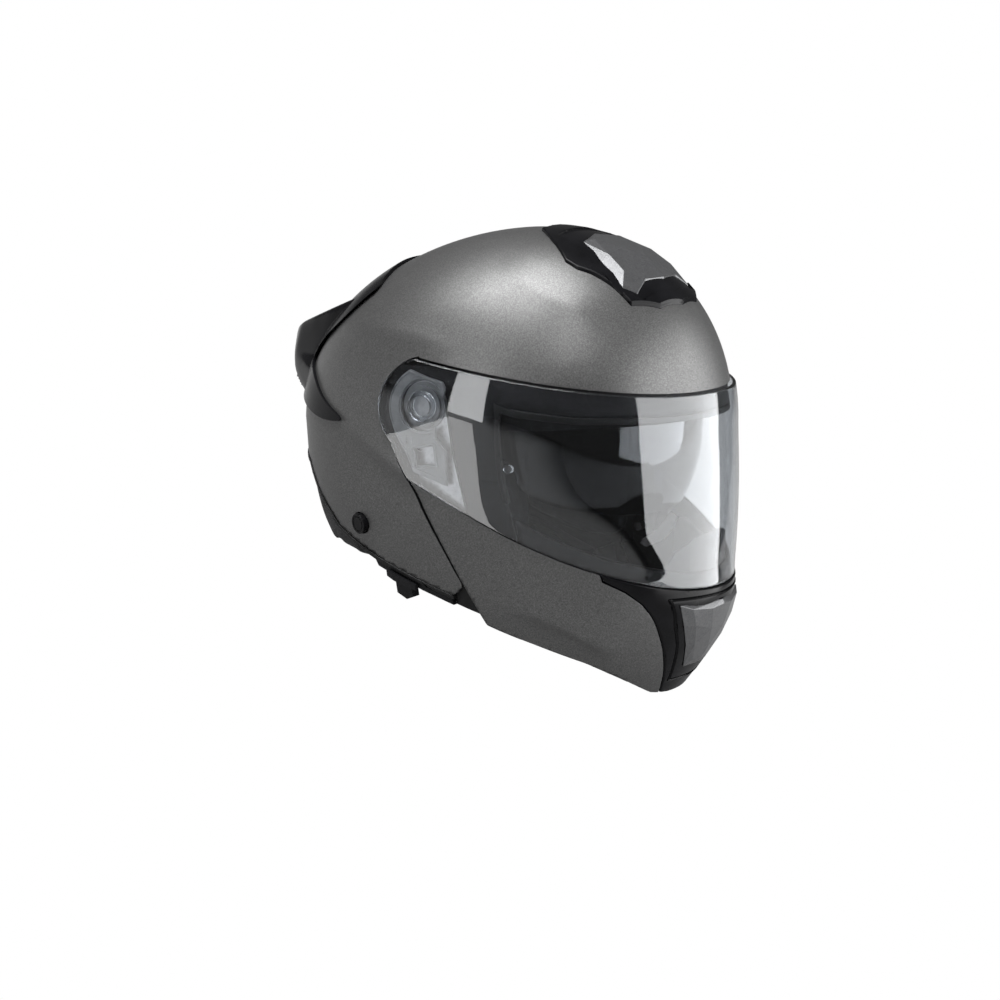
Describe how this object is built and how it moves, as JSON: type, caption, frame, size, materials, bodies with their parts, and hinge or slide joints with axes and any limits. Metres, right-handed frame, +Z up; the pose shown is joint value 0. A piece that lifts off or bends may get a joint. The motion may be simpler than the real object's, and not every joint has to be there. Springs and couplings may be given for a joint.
{
  "type": "motorcycle helmet",
  "caption": "Flip-up full-face motorcycle helmet in matt grey with clear visor, drop-down sun visor, black spoiler and sliding vents, standing on its base.",
  "frame": {"origin": "on the table under the middle of the helmet's footprint", "axes": "+Z up, +Y towards the back of the helmet, +X towards the wearer's left"},
  "size_m": [0.2512, 0.3718, 0.271],
  "materials": {
    "shell_paint": "matt titanium grey with a fine metallic grain",
    "foam": "black expanded bead foam",
    "lining_fabric": "black brushed knit over foam",
    "neck_fabric": "charcoal neoprene and artificial leather",
    "trim_rubber": "soft black rubber",
    "gloss_black": "gloss black injection moulding",
    "matte_black": "fine-grained black plastic",
    "vent_grey": "satin grey faceted paint",
    "hinge_grey": "smooth grey nylon",
    "steel": "zinc-plated steel",
    "webbing": "woven black polyester webbing",
    "clear_visor": "clear hard-coated polycarbonate",
    "clear_plastic": "clear polycarbonate",
    "smoke_visor": "dark smoke polycarbonate",
    "red_plastic": "red moulded plastic"
  },
  "bodies": {
    "helmet": {"outer_shell": "shell_paint", "eps_liner": "foam", "crown_pad": "lining_fabric", "cheek_pad_right": "lining_fabric", "cheek_pad_left": "lining_fabric", "neck_roll": "neck_fabric", "edge_trim": "trim_rubber", "eyeport_gasket": "trim_rubber", "rear_spoiler": "gloss_black", "exhaust_grille": "matte_black", "top_vent_base": "gloss_black", "pivot_pin_right": "steel", "pivot_pin_left": "steel", "latch_pins": "steel", "strap_anchors": "steel", "anchor_caps": "matte_black", "sun_track": "matte_black", "sun_cable": "matte_black", "sun_pins": "steel", "strap_right": "webbing", "strap_left": "webbing", "buckle_receiver": "matte_black", "strap_tongue": "steel", "buckle_pin": "steel"},
    "chin_bar": {"chin_bar": "shell_paint", "chin_bar_liner": "foam", "chin_vent_base": "gloss_black", "hinge_arm_right": "steel", "hinge_arm_left": "steel", "pivot_plate_right": "hinge_grey", "pivot_plate_left": "hinge_grey", "pivot_hub_right": "hinge_grey", "pivot_hub_left": "hinge_grey", "arm_screws": "steel", "breath_deflector": "trim_rubber", "chin_curtain": "neck_fabric"},
    "visor": {"visor": "clear_visor", "visor_boss_right": "clear_plastic", "visor_boss_left": "clear_plastic", "pinlock_pins": "clear_plastic"},
    "sun_visor": {"sun_visor": "smoke_visor", "sun_bushes": "matte_black"},
    "sun_lever": {"sun_lever": "matte_black"},
    "top_vent_slider": {"top_vent_slider": "vent_grey"},
    "chin_vent_slider": {"chin_vent_slider": "vent_grey"},
    "release_button": {"release_button": "red_plastic"},
    "latch_hook_right": {"latch_hook_right": "steel"},
    "latch_hook_left": {"latch_hook_left": "steel"},
    "buckle_lever": {"buckle_lever": "red_plastic"}
  },
  "joints": [
    {"name": "chin_bar_lift", "type": "hinge", "parent": "helmet", "child": "chin_bar", "pos_m": [0, 0.0154, 0.1412], "axis": [-1, 0, 0], "range_deg": [0, 60]},
    {"name": "visor_lift", "type": "hinge", "parent": "chin_bar", "child": "visor", "pos_m": [0, 0.0154, 0.1412], "axis": [-1, 0, 0], "range_deg": [0, 38]},
    {"name": "sun_visor_lift", "type": "hinge", "parent": "helmet", "child": "sun_visor", "pos_m": [0, -0.01044, 0.1297], "axis": [-1, 0, 0], "range_deg": [0, 40]},
    {"name": "sun_lever_slide", "type": "slide", "parent": "helmet", "child": "sun_lever", "axis": [0, 1, -0.0077], "range_m": [0, 0.02]},
    {"name": "top_vent_slide", "type": "hinge", "parent": "helmet", "child": "top_vent_slider", "pos_m": [0, -0.02058, 0.15073], "axis": [-1, 0, 0], "range_deg": [0, 4]},
    {"name": "chin_vent_slide", "type": "hinge", "parent": "chin_bar", "child": "chin_vent_slider", "pos_m": [0, -0.0651, 0.05427], "axis": [1, 0, 0], "range_deg": [0, 3]},
    {"name": "release_press", "type": "slide", "parent": "chin_bar", "child": "release_button", "axis": [0, 0.3584, 0.9336], "range_m": [0, 0.004], "stiffness_N_per_m": 400},
    {"name": "latch_right_turn", "type": "hinge", "parent": "chin_bar", "child": "latch_hook_right", "pos_m": [0, -0.09067, 0.07695], "axis": [-1, 0, 0], "range_deg": [0, 12.1]},
    {"name": "latch_left_turn", "type": "hinge", "parent": "chin_bar", "child": "latch_hook_left", "pos_m": [0, -0.09067, 0.07695], "axis": [-1, 0, 0], "range_deg": [0, 12.1]},
    {"name": "buckle_lever_pull", "type": "hinge", "parent": "helmet", "child": "buckle_lever", "pos_m": [0.019, -0.05939, 0.00961], "axis": [0, -0.9976, 0.0698], "range_deg": [0, 35], "stiffness_Nm_per_rad": 0.08}
  ],
  "couplings": [
    {"joint": "sun_lever_slide", "follows": "sun_visor_lift", "m_per_rad": 0.0286},
    {"joint": "latch_right_turn", "follows": "release_press", "rad_per_m": 52.36},
    {"joint": "latch_left_turn", "follows": "release_press", "rad_per_m": 52.36}
  ]
}
